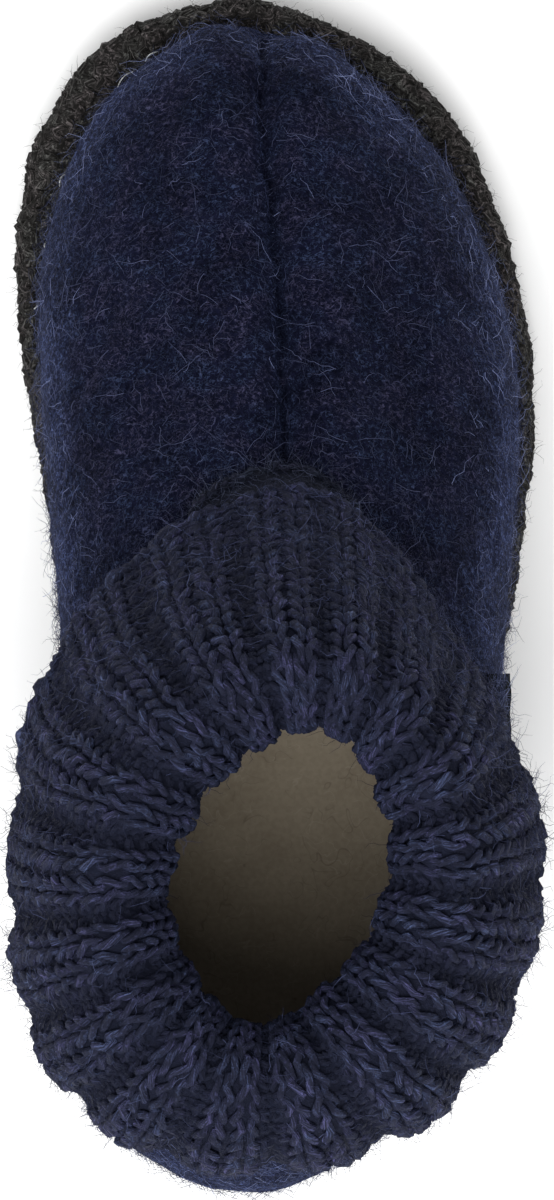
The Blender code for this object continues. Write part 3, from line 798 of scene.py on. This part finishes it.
ringColumns = ("medial", "lateral", "front", "middle", "back", "zFront", "zCorner", "zSide", "zBack",
               "wave", "lean", "leanBack", "nose", "tail", "sway")
rings = (               # the knit's middle surface, from the shaft's foot, over the fold, to the hem
    ("foot",   -26.0,  24.6,   0.6, -32.0, -64.8,
      67.2,  67.6,  67.9,  67.9, 0.2,   0.00, 0.00, 0.20, -0.19, 0.0),
    ("ankle",  -21.4,  20.6,  -7.4, -33.6, -60.0,
      79.0,  78.5,  78.0,  78.0, 0.5,   0.08, 0.04, 0.12,  0.00, 0.0),
    ("throat", -14.9,  15.0, -15.6, -35.4, -55.0,
      92.0,  91.5,  91.0,  91.0, 0.6,   0.19, 0.12, 0.13,  0.20, 0.0),
    ("lip",    -15.3,  15.4, -15.0, -35.5, -55.4,
      98.8,  98.4,  98.0,  98.0, 0.6,   0.18, 0.12, 0.12,  0.18, 0.0),
    ("crest",  -19.8,  20.0, -10.9, -35.7, -59.5,
     103.4, 103.1, 102.8, 102.6, 0.7,   0.13, 0.10, 0.10,  0.02, 0.2),
    ("turn",   -24.4,  24.4,  -6.2, -36.0, -64.5,
     100.6, 100.3, 100.0, 101.2, 0.8,   0.08, 0.08, 0.12, -0.12, 0.6),
    ("slope",  -29.2,  29.2,   0.8, -36.0, -69.6,
      88.0,  88.2,  89.0,  94.0, 0.9,   0.02, 0.07, 0.17, -0.19, 1.6),
    ("skirt",  -31.9,  32.1,   7.0, -36.0, -72.2,
      75.6,  75.6,  74.6,  78.0, 0.9,   0.00, 0.07, 0.20, -0.19, 2.0),
    ("hem",    -33.1,  33.4,  12.4, -36.0, -72.6,
      64.4,  65.1,  60.0,  59.6, 0.8, -0.018, 0.07, 0.21, -0.19, 2.4),
)


def cuffSheet():
    s = cuffKnit
    fine = drawnThrough([row[1:] for row in rings], s.steps)
    turn = np.arange(s.columns) * 2 * pi / s.columns + radians(s.firstRib)
    ahead, aside = np.cos(turn), np.sin(turn)
    at = Settings(zip(ringColumns, fine.T[..., None]))
    reach = np.where(ahead > 0, at.front - at.middle, at.middle - at.back)
    toCorner, toFront = at.zCorner - at.zSide, at.zFront - at.zSide
    frontZ = (4 * toCorner - toFront) * ahead ** 2 + (2 * toFront - 4 * toCorner) * ahead ** 4
    backZ = (at.zBack - at.zSide) * ahead ** 2
    narrow = 1 - np.where(ahead > 0, at.nose, at.tail) * ahead ** 2
    lean = np.where(ahead > 0, at.lean, at.leanBack)
    swing = np.where(ahead > 0, ahead ** 4 - 4 * (ahead * aside) ** 2, 0)
    x = (at.medial + at.lateral) / 2 + (at.lateral - at.medial) / 2 * aside * narrow
    x += lean * reach * ahead + at.sway * swing
    sheet = np.stack([x, at.middle + reach * ahead, at.zSide + np.where(ahead > 0, frontZ, backZ)], axis=2)
    sheet = evenRows(sheet, s.rings)
    outward = -sheetNormals(sheet)
    # ribs lie flatter on the front of the skirt, less so on its medial half
    down = np.linspace(0, 1, s.rings)[:, None]
    flat = smoothStep(ahead[None, :], *s.frontArc) * smoothStep(down, *s.frontStart)
    flat *= 1 - s.medialRibs * smoothStep(-aside[None, :], *s.medialArc)
    relief = np.interp(down, np.linspace(0, 1, s.steps), at.wave[:, 0]) * (1 - flat * (1 - s.frontRelief))
    towardsHem = smoothStep(down, *s.hemStart)
    relief *= s.throatRelief + (1 - s.throatRelief) * smoothStep(down, *s.throatEnd)
    relief *= 1 + (s.foldRelief - 1) * smoothStep(down, *s.foldStart) * (1 - towardsHem)
    relief *= 1 + (s.hemRelief - 1) * towardsHem
    # and the lip is drawn in unevenly
    lip = smoothStep(down, *s.lipStart) * (1 - smoothStep(down, *s.lipEnd))
    draw = lip * (s.lipDraw + s.lipUneven * softNoise(sheet, s.lipSize, 17))
    sheet += outward * (s.fullness + flat * s.frontFill - draw)[..., None]
    sheet[..., 2] += lift(sheet[..., 1])
    return sheet, outward, relief, flat


def ribWave(columns):
    # 1 on the plain stitches and -1 on the purl ones, round the cuff
    s = cuffKnit
    stitch = np.linspace(-4, 8, 1200)
    quarter = (stitch - 1) * pi / 2
    drawn = stitch + s.ribPull * np.sin(quarter)
    place = np.arange(columns) * s.ribs * 4 / columns % 4
    return np.interp(place, drawn, np.clip(1.25 * np.cos(quarter), -1, 1))


def makeCuff():
    s = cuffKnit
    sheet, outward, relief, flat = cuffSheet()
    base = knitBase("cuffBase", sheet, outward, cuffYarn.stitchesRound, relief)
    yarn = yarnMaterial("navyYarn", deep=(0.0104, 0.0108, 0.0176), middle=(0.0232, 0.0244, 0.0466),
                        fibre=(0.110, 0.126, 0.280), drift=0.09, patchy=1.0, flecks=0.24, sheen=0.03,
                        tint=(0.42, 0.52, 1.0))
    parts = {row[0]: dict(zip(partColumns, row[1:])) for row in cuffParts}
    for name, sizes in {**parts, "cuffHem": cuffHem}.items():
        register(grown(name, base, knit, yarn, **{**cuffYarn, **sizes}), "navy_knit", "cuff")
    # what shows between the loops, darkened with painted shade
    ribs = ribWave(s.columns)[None, :] * relief
    thick = sheet + outward * (ribs - s.backing * (1 - s.backingFlat * flat))[..., None]
    backing = makePiece("cuffBacking", thick[::2, ::2],
                        gridFaces(s.rings // 2, s.columns // 2, True), yarn)
    # painted shade: darker where the ribs stand high, lighter on the flat front
    least, most = s.shades
    shade = np.clip(least + relief[::2, ::2] / s.deepRib, 0, 1) * (most - s.backingFlat * flat[::2, ::2])
    storeValues(backing.data, "hollowShade", shade)
    # its fibres run slantwise
    down, turn = np.meshgrid(np.arange(shade.shape[0]), np.arange(shade.shape[1]), indexing="ij")
    slant = (turn % 2 * 2 - 1) * s.fibreSlants[0] + down * s.fibreSlants[1]
    twirl = np.stack([np.cos(turn * s.fibreTurns[0] + down), np.sin(turn * s.fibreTurns[1] - down),
                      0 * slant], axis=-1)
    storeValues(backing.data, "along", slant)
    storeValues(backing.data, "ring", twirl)
    addWall(backing, s.backingWall, 0)
    register(backing, "navy_knit", "cuff")
    # fuzz from the throat on: more on the front of the skirt, less over the fold
    hair = hairMaterial("navyFuzz", (0.009, 0.010, 0.022), (0.084, 0.100, 0.206), coolGloss)
    throat = s.rings // 3
    above = sheet + outward * (ribs + s.fuzzRise)[..., None]
    cover = knitBase("cuffCover", above[throat:], outward[throat:], cuffYarn.stitchesRound, relief[throat:])
    down = np.linspace(0, 1, s.rings)[:, None]
    extra = s.frontHairs * flat - s.foldBare * (1 - smoothStep(down, *s.foldEnd))
    storeValues(cover, "extra", wrapped(extra)[throat:])
    growHairs("cuffFuzz", cover, hair, "navy_knit", **cuffCoat)
    print("cuff is knitted")


makeCuff()


# loose edge of the cast-off where it lies on the instep: two strands twisted together

castOff = Settings(
    path=((-11.4, 10.2), (-9.4, 12.3), (-6.6, 13.9), (-4.0, 15.0), (1.2, 16.0), (4.6, 15.2),
          (7.8, 12.8), (9.6, 11.4), (11.0, 10.4)),
    points=150, sides=8, strand=0.42, apart=0.40, twists=7.5, lift=0.50, smoothing=13,
    lump=0.35, lumpSize=1.2, rise=0.30, taper=9, thinnest=0.15, fibrePitch=0.04,
    curl=0.45, curlRows=6, curlLump=1.5, curlShade=0.8, sag=0.9)
castOffCoats = (("castOffHairs", 2500000.0, 91), ("curlHairs", 1500000.0, 92))
castOffCoat = Settings(length=0.0030, rise=0.8, curl=0.0030, curlSize=0.0016, radius=0.000036, segments=5)


def castOffPath():
    # the rope's middle on the instep, the hem over it, and how far it is from its ends
    s = castOff
    felt = BVHTree.FromPolygons([vertex.co for vertex in feltSkin.vertices],
                                [face.vertices[:] for face in feltSkin.polygons])
    path = drawnThrough(s.path, s.points)
    height = [felt.ray_cast((x * mm, y * mm, 0.1), (0, 0, -1))[0].z / mm for x, y in path]
    height = np.pad(height, s.smoothing // 2, "edge")
    height = np.convolve(height, np.ones(s.smoothing) / s.smoothing, "valid") + s.lift
    # its ends run up to the hem
    hem = cuffSheet()[0][-1]
    front = hem[hem[:, 1] > 0]
    front = front[np.argsort(front[:, 0])]
    start = np.column_stack([path[:, 0], np.interp(path[:, 0], front[:, 0], front[:, 1]),
                             np.interp(path[:, 0], front[:, 0], front[:, 2])])
    way = np.linspace(0, 1, s.points)
    middle = smoothStep(np.minimum(way, 1 - way), 0.0, s.rise)
    return np.column_stack([path, start[:, 2] + (height - start[:, 2]) * middle]), start, way, middle


def makeCastOff():
    s = castOff
    path, start, way, middle = castOffPath()
    side, up, ring = ringsOn(path, s.sides)
    ends = np.clip(np.minimum(way, 1 - way) * s.taper, s.thinnest, 1)[:, None, None]
    points, reach = [], []
    for strand in (0, 1):
        turn = 2 * pi * (s.twists * way + strand / 2)
        aside = side * np.cos(turn)[:, None] + up * np.sin(turn)[:, None]
        centre = path + s.apart * aside * ends[:, :, 0]
        tube = centre[:, None] + ring * s.strand * ends
        tube += ring * softNoise(tube, s.lumpSize, 9)[..., None] * s.lump * ends
        points.append(tube)
        reach.append(np.repeat(way * s.fibrePitch + strand, s.sides))
    around = np.arange(s.sides) * 2 * pi / s.sides
    rounds = np.tile(np.column_stack([np.cos(around), np.sin(around), 0 * around]), (2 * s.points, 1))
    # painted shade: the cast-off's yarn is a darker copy of the cuff's navy yarn, as it lies in the hem's
    # shade
    wool = yarnMaterial("castOffYarnShaded", deep=(0.0024, 0.0026, 0.0052), middle=(0.0110, 0.0120, 0.0220),
                        fibre=(0.070, 0.080, 0.135), drift=0.09, patchy=1.0, flecks=0.3, sheen=0.02,
                        tint=coolGloss)
    rope = makePiece("castOffEdge", np.stack(points), tubeFaces(2, s.points, s.sides), wool)
    storeValues(rope.data, "along", np.concatenate(reach))
    storeValues(rope.data, "ring", rounds)
    register(rope, "navy_knit")
    # the knit curls under from the hem to the rope
    part = np.linspace(0, 1, s.curlRows)[:, None, None]
    sheet = (start * (1 - part) + path * part)[:, ::3]
    sheet[..., 2] -= s.sag * np.sin(pi * part[..., 0]) * middle[::3]
    sheet += softNoise(sheet, s.curlLump, 23)[..., None] * s.lump
    curl = makePiece("castOffCurl", sheet,
                     [face[::-1] for face in gridFaces(*sheet.shape[:2], False)], wool)
    # painted shade: the curl under the hem is darkened
    storeValues(curl.data, "hollowShade", np.full(sheet.shape[:2], s.curlShade))
    inner = curl.data.copy()
    addWall(curl, s.curl, 0)
    register(curl, "navy_knit")
    hair = hairMaterial("castOffFuzz", (0.006, 0.007, 0.015), (0.100, 0.116, 0.190), coolGloss)
    for (name, density, seed), under in zip(castOffCoats, (rope.data, inner)):
        growHairs(name, under, hair, "navy_knit", density=density, seed=seed, **castOffCoat)


makeCastOff()


# insole and outsole

def soleGrid(inset, rows, strips):
    # rows of points across the sole inside the outer line
    values = outlineAt(np.linspace(0, 1, 2000, endpoint=False))
    x, y = insetBy(values, values.band * inset[0] + inset[1])
    toe, heel = int(np.argmax(y)), int(np.argmin(y))
    lateral = np.arange(toe, heel + 1 + len(x) * (heel < toe)) % len(x)
    medial = np.arange(heel, toe + 1 + len(x) * (toe < heel)) % len(x)
    spread = (1 - np.cos(np.linspace(0, pi, rows))) / 2
    rowY = y[heel] + (y[toe] - y[heel]) * spread
    # the first and last rows keep some width
    kept = 0.02
    rowY[0] += kept * (rowY[1] - rowY[0])
    rowY[-1] -= kept * (rowY[-1] - rowY[-2])
    right = np.interp(rowY, y[lateral][::-1], x[lateral][::-1])
    left = np.interp(rowY, y[medial], x[medial])
    across = (1 - np.cos(np.linspace(0, pi, strips))) / 2
    grid = np.zeros((rows, strips, 3))
    grid[..., 0] = left[:, None] + (right - left)[:, None] * across
    grid[..., 1] = rowY[:, None]
    return grid


def makeSoleLayer(name, material, slot, node, inset, bottom, thickness, edge, rows, strips):
    grid = soleGrid(inset, rows, strips)
    grid[..., 2] = bottom + lift(grid[..., 1])
    layer = makePiece(name, grid, [face[::-1] for face in gridFaces(rows, strips, False)], material)
    addWall(layer, thickness, 1)
    bevel = layer.modifiers.new("round edge", "BEVEL")
    bevel.width = edge * mm
    bevel.segments = 3
    bevel.limit_method = "ANGLE"
    bevel.angle_limit = 1.0
    register(layer, slot, node)


# inset: a share of the band's thickness, and millimetres more
insoleLayer = dict(
    inset=(1.0, soleSizes.gap + upperFelt.wall + 0.4),
    bottom=soleSizes.outsole + soleSizes.gap, thickness=soleSizes.insole,
    edge=0.7, rows=60, strips=24)
outsoleLayer = dict(
    inset=(0.0, 0.6), bottom=0.0, thickness=soleSizes.outsole,
    edge=0.8, rows=90, strips=30)
makeSoleLayer("insoleFelt", insoleMaterial(), "beige_felt", "insole", **insoleLayer)
makeSoleLayer("outsoleRubber", rubberMaterial(), "outsole_rubber", "outsole", **outsoleLayer)
print("insole and outsole are made")


# edge band

edgeBand = Settings(
    columns=408, rings=16, height=7.7, foot=0.5, inset=0.75, reach=0.92,
    swell=0.45, swellSize=5.5, lump=0.30, lumpSize=2.4, coreWall=0.6, fuzzRise=0.6,
    profile=((1.05, -0.03), (0.45, 0.00), (0.12, 0.06), (0.02, 0.30), (0.03, 0.55), (0.12, 0.80),
             (0.40, 0.96), (0.75, 1.00), (1.05, 0.96)))     # share inwards, share up
bandYarn = Settings(
    stitchesRound=136, rowsInAll=5.0, firstRow=0.0, rows=5, pointsPerStitch=9, sides=6,
    loopReach=0.80, loopLean=0.15, legSwell=0.1, depth=0.45 * mm, ribPull=0.0,
    purlBias=-10.0, firstRib=1.0, yarnRadius=0.74 * mm, unevenness=0.0009, fluff=0.0005,
    deepRib=1.0)
bandCoat = Settings(
    density=370000.0, length=0.0022, rise=0.9, curl=0.0024, curlSize=0.0013,
    radius=0.000030, segments=4, seed=71)


def makeBand():
    s = edgeBand
    values = outlineAt(np.arange(s.columns) / s.columns)
    foot = soleSizes.outsole + soleSizes.gap + s.foot
    inward, up = np.array(s.profile).T[..., None]
    x, y = insetBy(values, values.band * inward * s.reach + s.inset)
    sheet = evenRows(np.stack([x, y, foot + s.height * up + 0 * x], axis=2), s.rings)
    outward = sheetNormals(sheet)
    uneven = softNoise(sheet, s.swellSize, 21) * s.swell
    uneven += softNoise(sheet, s.lumpSize, 22) * s.lump
    sheet += outward * uneven[..., None]
    sheet[..., 2] += lift(sheet[..., 1])
    level = np.zeros(sheet.shape[:2])
    base = knitBase("bandBase", sheet, outward, bandYarn.stitchesRound, level)
    warmGloss = (1.0, 0.96, 0.93)
    wool = yarnMaterial("charcoalYarn", deep=(0.0010, 0.0009, 0.0009), middle=(0.0112, 0.0103, 0.0100),
                        fibre=(0.235, 0.222, 0.218), drift=0.04, patchy=0.4, flecks=0.5, sheen=0.02,
                        tint=warmGloss)
    register(grown("bandYarn", base, knit, wool, **bandYarn), "charcoal_knit", "edge_band")
    core = makePiece("bandCore", sheet, gridFaces(s.rings, s.columns, True), wool)
    addWall(core, s.coreWall, -1)
    register(core, "charcoal_knit")
    hair = hairMaterial("charcoalFuzz", (0.0035, 0.0032, 0.0032), (0.190, 0.180, 0.175), warmGloss)
    cover = knitBase("bandCover", sheet + outward * s.fuzzRise, outward, bandYarn.stitchesRound, level)
    growHairs("bandFuzz", cover, hair, "charcoal_knit", **bandCoat)
    print("edge band is made")


makeBand()


# sewing thread that shows between felt and band at the big toe: short pale loops

jointThread = Settings(radius=0.085, points=14, sides=6, sink=0.5, rise=0.9, loops=(    # both ends, bow
    (-21.9, 69.0, -19.3, 71.4,  0.5),
    (-18.2, 72.0, -16.0, 74.0,  0.6),
    (-29.8, 55.4, -28.6, 57.6,  0.5),
    (-31.7, 46.9, -31.5, 48.2,  0.3),
    (-33.6, 38.6, -32.6, 41.8, -0.7),
))


def threadMaterial():
    material, shader, at = newMaterial("paleThread", rough=0.4)
    twist = at.noise(at.objectPlace(), 2500.0, 2.0).ramp(0.35, 0.65)
    connect(shader, "Base Color", twist.blend((0.30, 0.31, 0.31), (0.80, 0.82, 0.82)))
    return material


def makeThread():
    s = jointThread
    way = np.linspace(0, 1, s.points)
    arch = np.sin(pi * way)
    bandTop = soleSizes.outsole + soleSizes.gap + soleSizes.bandHeight
    tubes = []
    for x0, y0, x1, y1, bow in s.loops:
        reach = np.hypot(x1 - x0, y1 - y0)
        x = x0 + (x1 - x0) * way - (y1 - y0) / reach * bow * arch
        y = y0 + (y1 - y0) * way + (x1 - x0) / reach * bow * arch
        path = np.column_stack([x, y, bandTop - s.sink + s.rise * arch + lift(y)])
        tubes.append(path[:, None] + ringsOn(path, s.sides)[2] * s.radius)
    faces = tubeFaces(len(tubes), s.points, s.sides)
    register(makePiece("jointThread", np.stack(tubes), faces, threadMaterial()), "beige_felt")


makeThread()


# side tab: a folded end of tape, with the felt's hairs over its upper part

sideTab = Settings(
    centre=(29.02, -14.79, 51.0), width=8.0, drop=10.0, foldGap=0.5, foldEase=6, tilt=12.9, wall=0.42,
    steps=25, rows=12, ripple=0.1, rippleRate=1.3, hairy=(12, 20), hairyOut=0.3, hairyTop=1.2,
    hairyFoot=-0.9)
tabCoat = Settings(
    density=4000000.0, length=0.0042, rise=0.3, curl=0.0026, curlSize=0.0016,
    radius=0.000036, segments=4, seed=121)


def makeTab():
    s = sideTab
    fold = np.linspace(-1, 1, s.steps)
    off = s.foldGap * np.sign(fold) * np.minimum(np.abs(fold) * s.foldEase, 1)
    up = (0.5 - np.abs(fold)) * s.drop
    across = np.linspace(-s.width / 2, s.width / 2, s.rows)
    centreX, centreY, centreZ = s.centre
    tilt = radians(s.tilt)
    ripple = s.ripple * np.sin(across * s.rippleRate)
    sheet = np.zeros((s.steps, s.rows, 3))
    sheet[..., 0] = centreX + (off * cos(tilt) - up * sin(tilt))[:, None] + ripple
    sheet[..., 1] = centreY + across[None, :]
    sheet[..., 2] = centreZ + (up * cos(tilt) + off * sin(tilt))[:, None]
    tab = makePiece("sideTape", sheet, gridFaces(s.steps, s.rows, False), tapeMaterial())
    addWall(tab, s.wall, 0)
    register(tab, "dark_tape", "side_tab")
    upper = sheet[slice(*s.hairy)] + (s.hairyOut, 0, 0)
    strip = newMesh("tabCover", upper, gridFaces(len(upper), s.rows, False))
    storeValues(strip, "extra", np.repeat(np.linspace(s.hairyTop, s.hairyFoot, len(upper)), s.rows))
    growHairs("tabHairs", strip, litWallHair, "navy_felt", **tabCoat)


makeTab()


# camera, floor and light

camera = Settings(height=0.900, ahead=-0.0011, lens=194.2, sensor=36.0, nearest=0.05)
lights = Settings(keyPower=24.0, keySize=1.0, keyPlace=(-0.13, -0.50, 1.36), world=0.66)
floorReach = 1500.0     # millimetres

shotData = bpy.data.cameras.new("camera")
shotData.sensor_width = camera.sensor
shotData.lens = camera.lens
shotData.clip_start = camera.nearest
shot = newObject("camera", shotData)
shot.location = (0, camera.ahead, camera.height)
bpy.context.scene.camera = shot

floorMaterial, floorShader, floorWire = newMaterial("paleFloor", rough=0.9)
floorGrain = floorWire.noise(floorWire.objectPlace(), 200.0, 3.0)
connect(floorShader, "Base Color", floorGrain.blend((0.93, 0.93, 0.93), (0.95, 0.95, 0.95)))
floorCorners = [(x * floorReach, y * floorReach, 0) for x, y in ((-1, -1), (1, -1), (1, 1), (-1, 1))]
floor = makePiece("floor", floorCorners, [(0, 1, 2, 3)], floorMaterial)

keyData = bpy.data.lights.new("softbox", "AREA")
keyData.shape = "DISK"
keyData.size = lights.keySize
keyData.energy = lights.keyPower
key = newObject("softbox", keyData)
key.location = lights.keyPlace
key.rotation_euler = (-key.location).to_track_quat("-Z", "Y").to_euler()

world = bpy.data.worlds.new("studio")
world.use_nodes = True
world.node_tree.nodes["Background"].inputs["Color"].default_value = (1.0, 1.0, 1.0, 1)
world.node_tree.nodes["Background"].inputs["Strength"].default_value = lights.world
bpy.context.scene.world = world
bpy.context.scene.view_settings.view_transform = "Standard"
print("stage is set")
